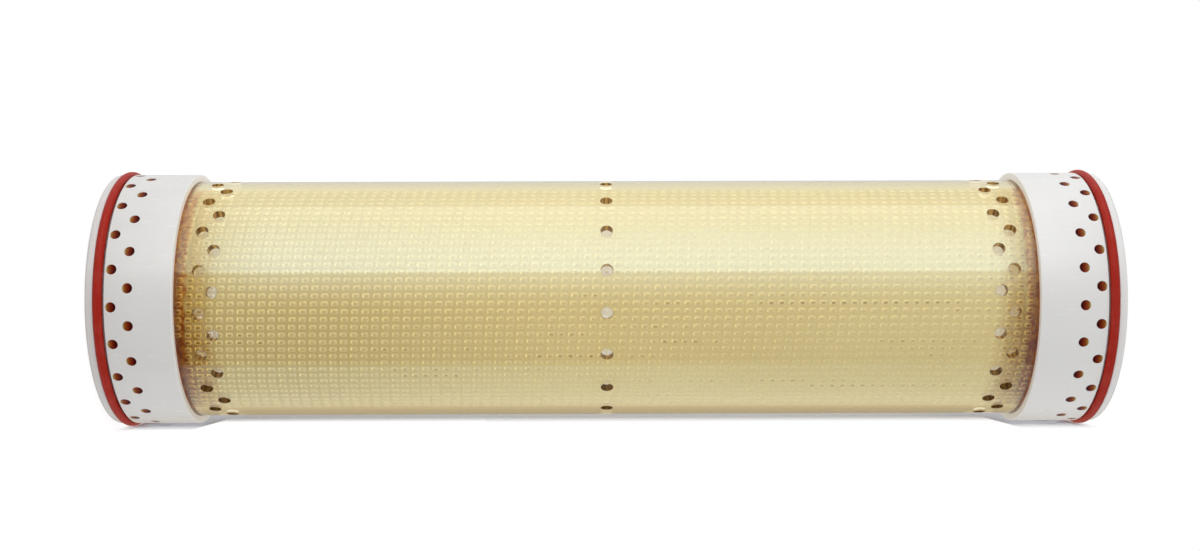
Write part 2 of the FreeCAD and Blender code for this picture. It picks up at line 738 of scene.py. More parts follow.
@dataclass(frozen=True)
class SealRubber:
    """Red silicone rubber of the seal rings."""

    colour: Colour = (0.41, 0.016, 0.006)
    worn: Colour = (0.45, 0.045, 0.030)

    def material(self) -> Material:
        """Builds the material: a faint dusty bloom and streaks along the ring.

        Returns:
            The material.
        """
        made = Finish("seal_red")
        bloom = made.noise(60.0, 4.0)
        turn = made.vector(made.around() * 1.2, made.height * 900.0, 0.0)
        streak = made.noise(3.0, 3.0, turn)
        dust = (bloom * streak).step(0.22, 0.42)
        colour = made.mix(dust, self.colour, self.worn)
        relief = made.relief(made.noise(1400.0, 2.0), 0.03 * MM, 0.3)
        return made.surface(Base_Color=colour, Roughness=0.44 + dust * 0.12, IOR=1.26,
                            Normal=relief)


@dataclass(frozen=True)
class ClearAmber:
    """Clear amber plastic of the tube."""

    colour: Colour = (0.96, 0.86, 0.50)
    lamp_tint: Colour = (0.985, 0.975, 0.94)
    gloss_tint: Colour = (0.50, 0.76, 1.0)
    roughness: float = 0.015
    index: float = 1.60

    def material(self) -> Material:
        """Builds the material: clear, with slow waves in the drawn surface.

        Returns:
            The material.
        """
        made = Finish("tube_clear")
        waves = made.noise(5.0, 1.0, stretch=(2.0, 2.0, 0.6))
        tone = made.mix(waves.step(0.3, 0.7), self.colour, toned(self.colour, 0.985))
        return made.lets_light_through(self.lamp_tint, Base_Color=tone, IOR=self.index,
                                       Roughness=self.roughness, Transmission_Weight=1.0,
                                       Specular_Tint=(*self.gloss_tint, 1.0))


@dataclass(frozen=True)
class CutAmber:
    """Drilled walls of the tube's perforations, where the plastic shows its depth."""

    colour: Colour = (0.60, 0.36, 0.11)
    deep: Colour = (0.15, 0.060, 0.010)
    lamp_tint: Colour = (0.95, 0.90, 0.75)

    def material(self, length: float, rows: Sequence[float], radius: float) -> Material:
        """Builds the material: amber streaks through the wall, with a painted highlight across the
        middle of each hole and painted shade on the side below.

        Args:
            length: Length of the cartridge.
            rows: Heights of the rows of perforations below mid length, and that of the middle.
            radius: Radius of a perforation.

        Returns:
            The material.
        """
        made = Finish("tube_cut")
        from_end = made.from_end(length)
        off = abs(from_end - rows[0])
        for row in rows[1:]:
            off = off.smaller(abs(from_end - row))
        # Painted highlight: the wall is paler across the middle of each row of holes.
        middle = (off / radius).step(0.42, 0.10)
        where = made.vector(made.around() * 0.125, made.height, 0.0)
        streaks = made.noise(260.0, 2.0, where).step(0.40, 0.64)
        colour = made.mix((streaks * 0.7).larger(middle), self.deep, self.colour)
        # Painted shade: walls on the side below are painted darker.
        underside = made.x.step(0.03, 0.10)
        colour = made.mix(underside * 0.8, colour, toned(self.deep, 0.5))
        return made.lets_light_through(self.lamp_tint, clear_behind=True, Base_Color=colour,
                                       Roughness=0.22, IOR=1.45)


@dataclass(frozen=True)
class CastResin:
    """Cast potting resin: dark red amber in the depth, brown on the cut end face."""

    deep: Colour = (0.085, 0.014, 0.004)
    edge: Colour = (0.55, 0.145, 0.015)
    face: Colour = (0.26, 0.125, 0.045)
    thinning: float = 14.0 * MM

    def material(self, length: float, brim: float) -> Material:
        """Builds the material of the block.

        Args:
            length: Length of the cartridge.
            brim: Height above an end face where the resin thins out under the tube.

        Returns:
            The material.
        """
        made = Finish("resin_cast")
        from_end = made.from_end(length)
        cloud = made.noise(70.0, 4.0)
        depth = made.mix(cloud.step(0.35, 0.7), self.deep, toned(self.deep, 1.6))
        thin = from_end.step(brim - self.thinning, brim)
        body = made.mix(thin, depth, self.edge)
        cut = made.mix(made.noise(240.0, 3.0), self.face, toned(self.face, 0.75))
        colour = made.mix(from_end.step(1.0 * MM, 0.2 * MM), body, cut)
        return made.surface(Base_Color=colour, Roughness=0.24 + cloud * 0.1, IOR=1.35)


@dataclass(frozen=True)
class PlugResin:
    """Resin in the casting holes, dark red amber, with painted light and shade across each hole: olive
    on the side nearer the end face, dark red to near black on the far side.
    """

    stops: Sequence[tuple[float, Colour]] = (
        (0.00, (0.62, 0.48, 0.24)),
        (0.10, (0.36, 0.20, 0.045)),
        (0.24, (0.28, 0.070, 0.012)),
        (0.52, (0.17, 0.016, 0.004)),
        (0.80, (0.060, 0.002, 0.002)),
        (1.00, (0.025, 0.001, 0.002)),
    )
    roughness: float = 0.12

    def material(self, length: float, rows: Sequence[Pair], radius: float) -> Material:
        """Builds the material.

        Args:
            length: Length of the cartridge.
            rows: Height and turn of the two rows of holes.
            radius: Radius of a hole.

        Returns:
            The material.
        """
        made = Finish("resin_plug")
        from_end = made.from_end(length)
        outer, inner = rows[0][0], rows[1][0]
        # Painted light and shade: the ramp runs across each hole, from the side nearer the end face to
        # the far side.
        over = from_end > (outer + inner) / 2
        across = (from_end - outer - over * (inner - outer)) / (2 * radius) + 0.5
        cloud = made.noise(160.0, 3.0) * 0.16 - 0.08
        colour = made.node("ShaderNodeValToRGB", {"stops": self.stops}, {"Fac": across + cloud})
        ripple = made.relief(made.noise(260.0, 2.0), 0.15 * MM, 0.5)
        return made.surface(Base_Color=colour, Roughness=self.roughness, IOR=1.15,
                            Normal=ripple)


@dataclass(frozen=True)
class Fibre:
    """Porous membrane fibre, cream coloured."""

    colour: Colour = (0.78, 0.74, 0.60)
    # Painted shade of the hollow inside each fibre.
    bore: Colour = (0.10, 0.06, 0.03)

    def material(self) -> Material:
        """Builds the material of the cut fibre ends: a cream ring round a bore painted dark as painted
        shade of the hollow.

        Returns:
            The material.
        """
        made = Finish("fibre_ends")
        bore = made.mark("bore")
        tone = made.noise(90.0, 3.0).step(0.3, 0.7)
        wall = made.mix(tone, self.colour, toned(self.colour, 0.86))
        # Painted shade: the shallow bore is painted dark for the shade deep inside the hollow fibre.
        colour = made.mix(bore, wall, self.bore)
        return made.surface(Base_Color=colour, Roughness=0.75, IOR=1.4)

    def bundle_material(self) -> Material:
        """Builds the material of the bundle's outside: cream threads along the axis.

        Returns:
            The material.
        """
        made = Finish("fibre_bundle")
        threads = made.noise(900.0, 2.0, stretch=(1.0, 1.0, 0.02))
        colour = made.mix(threads.step(0.3, 0.7), self.colour, toned(self.colour, 0.7))
        relief = made.relief(threads, 0.4 * MM, 0.8)
        return made.surface(Base_Color=colour, Roughness=0.8, IOR=1.4, Normal=relief)


@dataclass(frozen=True)
class NetPattern:
    """How the raised cells of the net lie round the sleeve."""

    around: int = 94
    pitch: float = 10.7 * MM
    slip: int = 5
    cell_length: float = 8.0 * MM
    cell_width: float = 5.3 * MM
    first: float = 4.0 * MM

    @property
    def angle(self) -> float:
        """Angle between two columns of cells, in radians."""
        return 2 * math.pi / self.around


@dataclass(frozen=True)
class NetPlastic:
    """Translucent net, stained by the resin near both ends, with painted highlights on the slopes of
    its cells and painted shade towards the lower end and on the side below.

    Each run is a row of brown dashes: the number of its column of cells, where it starts and ends as
    shares of the length, and how strong it is.
    """

    colour: Colour = (0.91, 0.85, 0.71)
    warm: Colour = (0.87, 0.79, 0.60)
    painted_highlight: Colour = (0.99, 0.985, 0.98)
    dull_painted_shade: Colour = (0.70, 0.635, 0.50)
    dull_painted_shade_reach: Pair = (0.48, 0.12)
    speck: Colour = (0.44, 0.25, 0.10)
    film: Colour = (0.38, 0.20, 0.055)
    straw: Colour = (0.69, 0.50, 0.08)
    deep: Colour = (0.26, 0.055, 0.007)
    amber: Colour = (0.44, 0.165, 0.028)
    tan: Colour = (0.56, 0.22, 0.03)
    honey: Colour = (0.82, 0.47, 0.10)
    stained_painted_highlight: Colour = (0.86, 0.66, 0.30)
    line: Colour = (0.30, 0.15, 0.05)
    film_reach: float = 36.0 * MM
    film_start: float = 6.5 * MM
    runs: Sequence[tuple[int, float, float, float]] = (
        (-23, 0.64, 0.84, 1.0), (-18, 0.76, 0.86, 0.5), (-17, 0.77, 0.85, 0.4),
    )

    def material(self, length: float, resin_level: float, foot: float,
                 pattern: NetPattern) -> Material:
        """Builds the material.

        Args:
            length: Length of the cartridge.
            resin_level: Height of the resin above an end face.
            foot: Height of the net's lower end.
            pattern: How the cells lie.

        Returns:
            The material.
        """
        made = Finish("net_clear")
        under = made.x.step(-0.10, 0.06)
        from_foot = made.height / length
        column = made.around() / pattern.angle
        row = (made.height - foot - pattern.first) / pattern.pitch \
            + column * (pattern.slip / pattern.around)
        across = column - column.round()
        along = row - row.round()
        cell = made.vector(column.round(), row.round(), 0.0)
        chance = made.node("ShaderNodeTexWhiteNoise", None, {"Vector": cell})
        dash = abs(along).step(0.24, 0.12) * abs(across - 0.04).step(0.17, 0.05)
        rise = made.mark("rise")
        slope = rise * (1.0 - rise) * 4.0

        colour = self._plain(made, from_foot, under, rise)
        spots = self._spots(made, from_foot, column, under, chance)
        colour = made.mix(dash * spots * 0.8, colour, self.speck)
        dots = made.noise(420.0, 2.0, stretch=(1.0, 1.0, 0.6)).step(0.745, 0.80)
        colour = made.mix(dots * 0.6, colour, self.speck)

        waver = made.noise(95.0, 4.0) * 7.0 * MM + made.noise(24.0, 2.0) * 6.0 * MM
        level = made.from_end(length) - resin_level + waver - self.film_start
        colour = self._stained(made, colour, level, under, dash * (0.3 + chance * 0.6), slope)
        return made.surface(Base_Color=colour, Roughness=0.35, IOR=1.20, Coat_Weight=slope,
                            Coat_IOR=1.9, Coat_Roughness=0.08)

    def _plain(self, made: Finish, from_foot: Expression, under: Expression,
               rise: Expression) -> Expression:
        """Colour of the clean net: slow clouds, painted shade duller towards the lower end and on the
        side below, warm on the cells.

        Args:
            made: The finish.
            from_foot: Height as a share of the length.
            under: 1 on the side that is below in the photograph.
            rise: 0 at the foot of a cell's slopes, and 1 on its flat.

        Returns:
            The colour.
        """
        clouds = made.noise(6.0, 3.0, stretch=(1.0, 1.0, 0.4)).step(0.35, 0.68)
        colour = made.mix(clouds, self.colour, self.warm)
        # Painted shade: the net is duller towards the lower end, and more so on the side below.
        dull_painted_shade = from_foot.step(*self.dull_painted_shade_reach) * (0.40 + under * 0.60)
        colour = made.mix(dull_painted_shade, colour, self.dull_painted_shade)
        return made.mix(rise.step(0.7, 1.0) * 0.35, colour, self.warm)

    def _spots(self, made: Finish, from_foot: Expression, column: Expression, under: Expression,
               chance: Expression) -> Expression:
        """How strongly the cells are marked by a brown dash, here and there and in the runs.

        Args:
            made: The finish.
            from_foot: Height as a share of the length.
            column: Columns of cells round from +X, with their fraction.
            under: 1 on the side that is below in the photograph.
            chance: A random value for each cell.

        Returns:
            The strength, from 0 to 1.
        """
        streak = made.noise(1.0, 1.0, made.vector(column.round() * 7.3, made.height * 4.5, 0.0))
        spots = (streak + chance * 0.10).step(0.60, 0.76) * under
        for number, start, end, share in self.runs:
            inside = (from_foot > start) * (from_foot < end) * (abs(column - number) < 0.5)
            spots = spots.larger(inside * (chance * 0.5 + 0.5) * share)
        return spots

    def _stained(self, made: Finish, colour: Expression, level: Expression, under: Expression,
                 dash: Expression, slope: Expression) -> Expression:
        """Colour of the net with the resin that has crept up it, a painted highlight on the slopes of
        the cells, and painted shade on the side below.

        Args:
            made: The finish.
            colour: Colour of the net without resin.
            level: Height above the wavering edge of the thick resin.
            under: 1 on the side that is below in the photograph, where the stain is painted darker as
                painted shade.
            dash: How strongly the middle of a cell is marked.
            slope: 1 on the slopes of the cells, where the painted highlight goes.

        Returns:
            The colour.
        """
        blots = made.noise(150.0, 4.0, roughness=0.65)
        # Painted shade: the film, its strength and the thick resin are painted darker on the side
        # below.
        film = made.mix(under, self.straw, self.film)
        film = made.mix(blots.step(0.36, 0.66) * 0.3, film, self.colour)
        stain = level.step(self.film_reach, 2.0 * MM) * (0.50 + under * 0.50)
        colour = made.mix(stain, colour, film)
        brink = abs(level - 2.5 * MM).step(0.8 * MM, 0.2 * MM) * blots.step(0.40, 0.60)
        colour = made.mix(brink * 0.45, colour, self.line)
        colour = made.mix(stain * dash, colour, self.line)
        near = (level + blots * 5.0 * MM).step(2.5 * MM, -2.0 * MM)
        dark = made.mix(under, self.tan, self.deep)
        light = made.mix(under, self.honey, self.amber)
        colour = made.mix(near, colour, made.mix(blots.step(0.40, 0.60), dark, light))
        # Painted highlight: the slopes of the cells are painted paler, golden where stained.
        edge = made.mix(stain.step(0.2, 0.7), self.painted_highlight, self.stained_painted_highlight)
        return made.mix(slope * (0.85 - near * 0.35), colour, edge)


@dataclass
class Perforation:
    """Rows of round holes on radii, cut by a geometry tree."""

    name: str
    radius: float
    surface: float
    depth: float
    per_row: int
    rows: Sequence[Pair]
    chamfer: float
    flare: float = 3.0 * MM
    outward_limit: float = 0.9
    sides: int = 48

    def cutter(self) -> Object:
        """A round bar with a flare where it meets the surface, along its own Z.

        Returns:
            The bar, a helper object.
        """
        outline = [
            (0.0, -self.depth),
            (self.radius, -self.depth),
            (self.radius, -self.chamfer),
            (self.radius + self.chamfer + self.flare, self.flare),
            (0.0, self.flare),
        ]
        return turned(self.name + "_cutter", outline, self.sides)

    def cut(self, obj: Object, wall: Material, face: Material) -> Object:
        """Cuts the holes.

        Args:
            obj: The closed body to cut.
            wall: Material of the hole walls.
            face: Material of every other face.

        Returns:
            The same object, with its mesh cut.
        """
        tree = GeometryTree(self.name)
        cutter = self.cutter()
        radius = tree.input("Surface radius", Socket.LENGTH, self.surface)
        count = tree.input("Holes per row", Socket.COUNT, self.per_row)
        bar = tree.input("Cutter", Socket.OBJECT, cutter)
        face_input = tree.input("Face material", Socket.MATERIAL, face)
        wall_input = tree.input("Wall material", Socket.MATERIAL, wall)
        bars = tree.in_rows(tree.shape(bar), self.rows, count, radius)
        solid_bars = tree.node("GeometryNodeRealizeInstances", None, {"Geometry": bars})
        cut = tree.node("GeometryNodeMeshBoolean", {"operation": "DIFFERENCE", "solver": "EXACT"},
                        {"Mesh 1": tree.geometry, "Mesh 2": [solid_bars]}, "Mesh")
        dressed = tree.finish(cut, face_input)
        dressed = tree.node("GeometryNodeSetMaterial", None, {
            "Geometry": dressed, "Selection": self._on_wall(tree), "Material": wall_input,
        })
        tree.run(obj, dressed)
        remove(cutter)
        return obj

    def _on_wall(self, tree: GeometryTree) -> Expression:
        """1 on faces that look across the radius and lie close to a row of holes.

        Args:
            tree: The tree that cuts the holes.

        Returns:
            1 there, and 0 elsewhere.
        """
        position = tree.node("GeometryNodeInputPosition")
        normal = tree.node("GeometryNodeInputNormal")
        flat = tree.node("ShaderNodeVectorMath", {"operation": "MULTIPLY"},
                         {0: position, 1: (1.0, 1.0, 0.0)})
        way = tree.node("ShaderNodeVectorMath", {"operation": "NORMALIZE"}, {0: flat})
        outwards = tree.node("ShaderNodeVectorMath", {"operation": "DOT_PRODUCT"},
                             {0: way, 1: normal}, "Value")
        _, _, height = tree.parts(position)
        near = None
        for level, _ in self.rows:
            close = abs(height - level) < self.radius + self.chamfer
            near = close if near is None else near.larger(close)
        return near * (abs(outwards) < self.outward_limit)


@dataclass
class EndRing:
    """One end ring, with the seal groove and the casting holes."""

    sizes: Sizes
    end: End
    turn: float
    end_wall: float = 12.0 * MM
    seat_clearance: float = 0.2 * MM
    land: float = 8.5 * MM
    groove_width: float = 11.5 * MM
    groove_depth: float = 6.25 * MM
    hole_radius: float = 5.3 * MM
    holes_per_row: int = 22
    hole_to_groove: float = 1.6 * MM
    hole_chamfer: float = 0.25 * MM
    hole_overrun: float = 4.0 * MM
    row_step: float = 16.9 * MM
    land_round: float = 3.5 * MM
    brim_round: float = 1.2 * MM
    seat_round: float = 0.5 * MM
    bore_round: float = 0.3 * MM
    groove_round: float = 0.6 * MM
    groove_lip_round: float = 0.4 * MM
    segments: int = 480

    @property
    def rows(self) -> list[Pair]:
        """Height and turn of the outer and of the inner row of casting holes.

        Returns:
            The rows, each as (height, turn).
        """
        outer = self.land + self.groove_width + self.hole_to_groove + self.hole_radius
        half_pitch = 180.0 / self.holes_per_row
        return [(outer, self.turn + half_pitch), (outer + self.row_step, self.turn)]

    def outline(self) -> list[Pair]:
        """Half section of the lower ring.

        Returns:
            Points as (radius, height).
        """
        bore = self.sizes.ring_radius - self.end_wall
        seat = self.sizes.tube_radius + self.seat_clearance
        outside = self.sizes.ring_radius
        floor = outside - self.groove_depth
        groove_top = self.land + self.groove_width
        brim = self.sizes.ring_length
        return rounded([
            Corner(bore, 0.0, self.bore_round),
            Corner(outside, 0.0, self.land_round),
            Corner(outside, self.land, self.groove_lip_round),
            Corner(floor, self.land, self.groove_round),
            Corner(floor, groove_top, self.groove_round),
            Corner(outside, groove_top, self.groove_lip_round),
            Corner(outside, brim, self.brim_round),
            Corner(seat, brim, self.seat_round),
            Corner(seat, self.sizes.tube_foot),
            Corner(bore, self.sizes.tube_foot),
        ], pieces=6)

    def build(self, finish: Material) -> Object:
        """Builds and dresses the ring.

        Args:
            finish: Material of the piece.

        Returns:
            The ring.
        """
        node = self.end.value + "_end_ring"
        obj = turned(node + "_shell", self.outline(), self.segments)
        holes = Perforation(node + "_holes", self.hole_radius, self.sizes.ring_radius,
                            self.end_wall + self.hole_overrun, self.holes_per_row, self.rows,
                            self.hole_chamfer)
        holes.cut(obj, finish, finish)
        smooth(obj)
        if self.end is End.UPPER:
            turn_over(obj, self.sizes.length)
        return place(obj, node)


@dataclass
class SealRing:
    """Round seal ring in the groove of an end ring, against the wall of its land."""

    sizes: Sizes
    ring: EndRing
    section: float = 9.5 * MM
    stand_out: float = 3.3 * MM
    segments: int = 384
    sides: int = 32

    def build(self, finish: Material) -> Object:
        """Builds and dresses the seal ring.

        Args:
            finish: Material of the piece.

        Returns:
            The seal ring.
        """
        node = self.ring.end.value + "_o_ring"
        half = self.section / 2
        centre = self.sizes.ring_radius + self.stand_out - half
        outline = [(centre + x, self.ring.land + half + y)
                   for x, y, _ in ring_points(half, 0.0, self.sides)]
        obj = smooth(turned(node + "_cord", outline, self.segments))
        obj.data.materials.append(finish)
        if self.ring.end is End.UPPER:
            turn_over(obj, self.sizes.length)
        return place(obj, node)


def place(obj: Object, node: str) -> Object:
    """Lets a piece stand for a node of the frame, and reports it.

    Args:
        obj: The finished piece.
        node: The node that it stands for.

    Returns:
        The piece.
    """
    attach(obj, BODY)
    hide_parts(node)
    report(obj)
    return obj


def report(obj: Object) -> None:
    """Logs a piece and its count of triangles."""
    triangles = sum(len(face.vertices) - 2 for face in obj.data.polygons)
    log.info("%s: %d triangles", obj.name, triangles)


@dataclass
class Potting:
    """Cast resin of one end: the block round the fibres and the plugs in the casting holes."""

    sizes: Sizes
    ring: EndRing
    plug_recess: float = 0.7 * MM
    wetting: float = 0.06 * MM
    dish: float = 0.35 * MM
    face_recess: float = 0.25 * MM
    plug_clearance: float = 0.3 * MM
    net_cover: float = 1.0 * MM
    net_cover_round: float = 0.8 * MM
    fibre_cover: float = 2.0 * MM
    block_segments: int = 256
    plug_sides: int = 40

    def block(self, finish: Material) -> Object:
        """Builds the block of the lower end.

        Args:
            finish: Material of the piece.

        Returns:
            The block.
        """
        sizes = self.sizes
        bore = sizes.ring_radius - self.ring.end_wall
        outline = rounded([
            Corner(0.0, self.face_recess),
            Corner(bore, self.face_recess),
            Corner(bore, sizes.tube_foot),
            Corner(sizes.net_outside, sizes.tube_foot),
            Corner(sizes.net_outside, sizes.net_foot + self.net_cover, self.net_cover_round),
            Corner(sizes.bundle_radius, sizes.net_foot + self.fibre_cover),
            Corner(0.0, sizes.net_foot + self.fibre_cover),
        ])
        obj = turned("block", outline, self.block_segments)
        obj.data.materials.append(finish)
        return smooth(obj)

    def plug(self) -> Object:
        """One plug along its own Z, with a dished face.

        Returns:
            The plug, a helper object.
        """
        radius = self.ring.hole_radius + self.wetting
        depth = self.ring.end_wall - self.plug_clearance
        rings = 5
        outline = [(0.0, -depth), (radius, -depth), (radius, -self.plug_recess)]
        for number in range(1, rings + 1):
            share = 1.0 - number / rings
            drop = self.dish * (1.0 - share ** 2)
            outline.append((radius * share, -self.plug_recess - drop))
        return smooth(turned("plug", outline, self.plug_sides), limit=60.0)

    def plugs(self, finish: Material) -> Object:
        """Builds the plugs of the lower end with a geometry tree.

        Args:
            finish: Material of the piece.

        Returns:
            All plugs of the end, as one object.
        """
        plug = self.plug()
        base = mesh_object("plugs", [(0.0, 0.0, 0.0)], [])
        tree = GeometryTree("plugs")
        radius = tree.input("Surface radius", Socket.LENGTH, self.sizes.ring_radius)
        count = tree.input("Plugs per row", Socket.COUNT, self.ring.holes_per_row)
        shape = tree.input("Plug", Socket.OBJECT, plug)
        material = tree.input("Material", Socket.MATERIAL, finish)
        placed = tree.in_rows(tree.shape(shape), self.ring.rows, count, radius)
        tree.run(base, tree.finish(placed, material))
        remove(plug)
        return base

    def build(self, block_finish: Material, plug_finish: Material) -> list[Object]:
        """Builds and dresses block and plugs.

        Args:
            block_finish: Material of the block.
            plug_finish: Material of the plugs.

        Returns:
            The block and the plugs.
        """
        node = self.ring.end.value + "_potting"
        pieces = [self.block(block_finish), self.plugs(plug_finish)]
        for obj, part in zip(pieces, ("_block", "_plugs")):
            obj.name = node + part
            if self.ring.end is End.UPPER:
                turn_over(obj, self.sizes.length)
            place(obj, node)
        return pieces


@dataclass
class ShellTube:
    """Clear tube with five rows of perforations."""

    sizes: Sizes
    wall: float = 8.7 * MM
    hole_radius: float = 6.2 * MM
    hole_chamfer: float = 0.3 * MM
    hole_overrun: float = 2.0 * MM
    holes_per_row: int = 18
    row_step: float = 14.2 * MM
    resin_to_hole: float = 6.3 * MM
    turn: float = 13.6
    segments: int = 600

    @property
    def rows(self) -> list[Pair]:
        """Height and turn of each row, from the lower end up.

        Returns:
            The rows, each as (height, turn).
        """
        first = self.sizes.resin_level + self.resin_to_hole + self.hole_radius
        second = first + self.row_step
        length = self.sizes.length
        staggered = self.turn + 180.0 / self.holes_per_row
        return [
            (first, self.turn),
            (second, staggered),
            (length / 2, self.turn),
            (length - second, staggered),
            (length - first, self.turn),
        ]

    def build(self, clear: Material, cut: Material) -> Object:
        """Builds and dresses the tube.

        Args:
            clear: Material of the tube.
            cut: Material of the walls of its perforations.

        Returns:
            The tube.
        """
        sizes = self.sizes
        inside = sizes.tube_radius - self.wall
        top = sizes.length - sizes.tube_foot
        outline = [
            (inside, sizes.tube_foot),
            (sizes.tube_radius, sizes.tube_foot),
            (sizes.tube_radius, top),
            (inside, top),
        ]
        obj = turned("shell_tube_clear", outline, self.segments)
        holes = Perforation("tube_holes", self.hole_radius, sizes.tube_radius,
                            self.wall + self.hole_overrun, self.holes_per_row, self.rows,
                            self.hole_chamfer)
        holes.cut(obj, cut, clear)
        return place(smooth(obj), "shell_tube")


@dataclass
class NetSleeve:
    """Net round the fibres: a thin sleeve with thousands of raised cells."""

    sizes: Sizes
    pattern: NetPattern = field(default_factory=NetPattern)
    wall: float = 1.6 * MM
    film: float = 0.45 * MM
    cell_rise: float = 1.05 * MM
    cell_sunk: float = 0.05 * MM
    cell_corner: Pair = (1.3 * MM, 0.65 * MM)
    cell_scale: Pair = (0.93, 1.03)
    side_slope: float = 1.3 * MM
    end_slope: float = 1.9 * MM
    sway: float = 0.35 * MM
    segments: int = 288
    seed: int = 11

    def cell(self) -> Object:
        """One raised cell along its own Z: a rounded rectangle with sloped sides.

        Its "rise" attribute is 0 at the foot of the slopes and 1 on the flat.

        Returns:
            The cell, a helper object.
        """
        vertices: list[Triple] = []
        length, width = self.pattern.cell_length / 2, self.pattern.cell_width / 2
        for share, height in ((0, -self.cell_sunk), (1, self.cell_rise)):
            bevel = self.cell_corner[share]
            wide, long = width - self.side_slope * share, length - self.end_slope * share
            vertices += [
                (-wide + bevel, -long, height), (wide - bevel, -long, height),
                (wide, -long + bevel, height), (wide, long - bevel, height),
                (wide - bevel, long, height), (-wide + bevel, long, height),
                (-wide, long - bevel, height), (-wide, -long + bevel, height),
            ]
        corners = len(vertices) // 2
        top = tuple(range(corners, 2 * corners))
        obj = smooth(mesh_object("net_cell", vertices, band(corners) + [top]), limit=80.0)
        return mark_points(obj, "rise", [0.0] * corners + [1.0] * corners)

    def build(self, finish: Material) -> Object:
        """Builds and dresses the sleeve with a geometry tree.

        Args:
            finish: Material of the piece.

        Returns:
            The sleeve.
        """
        sizes, pattern = self.sizes, self.pattern
        inside = sizes.net_outside - self.wall
        skin = inside + self.film
        foot, head = sizes.net_foot, sizes.length - sizes.net_foot
        outline = [(inside, foot), (skin, foot), (skin, head), (inside, head)]
        obj = turned("net_sleeve_cells", outline, self.segments)
        smooth(obj)
        cell = self.cell()
        tree = GeometryTree("net_cells")
        around = tree.input("Cells around", Socket.COUNT, pattern.around)
        rows = tree.input("Rows", Socket.COUNT,
                          int((head - foot) / pattern.pitch) + 2 * pattern.slip)
        pitch = tree.input("Pitch", Socket.LENGTH, pattern.pitch)
        radius = tree.input("Skin radius", Socket.LENGTH, skin)
        low = tree.input("Foot", Socket.LENGTH, foot)
        high = tree.input("Head", Socket.LENGTH, head)
        slip = tree.input("Slip in pitches", Socket.COUNT, pattern.slip)
        cell_input = tree.input("Cell", Socket.OBJECT, cell)
        material = tree.input("Material", Socket.MATERIAL, finish)

        index = tree.node("GeometryNodeInputIndex")
        column = index % around - around / 2
        row = (index / around).floor() - slip
        angle = column / around * (2 * math.pi)
        sway = tree.random(-self.sway, self.sway, ID=index, Seed=self.seed)
        height = low + pattern.first + (row - column / around * slip) * pitch + sway
        spot = tree.vector(angle.cosine() * radius, angle.sine() * radius, height)
        points = tree.node("GeometryNodePoints", None, {"Count": around * rows, "Position": spot})

        x, y, z = tree.parts(tree.node("GeometryNodeInputPosition"))
        margin = pattern.cell_length / 2
        inside_ends = (z > low + margin) * (z < high - margin)
        upright = tree.node("FunctionNodeAxesToRotation",
                            {"primary_axis": "Z", "secondary_axis": "Y"},
                            {"Primary Axis": tree.vector(x, y, 0.0),
                             "Secondary Axis": (0.0, 0.0, 1.0)})
        size = tree.random(*self.cell_scale, ID=index, Seed=self.seed + 1)
        cells = tree.node("GeometryNodeInstanceOnPoints", None, {
            "Points": points, "Selection": inside_ends, "Instance": tree.shape(cell_input),
            "Rotation": upright, "Scale": tree.vector(size, size, 1.0),
        })
        joined = tree.node("GeometryNodeJoinGeometry", None, {"Geometry": [tree.geometry, cells]})
        tree.run(obj, tree.finish(joined, material))
        remove(cell)
        return place(obj, "net_sleeve")


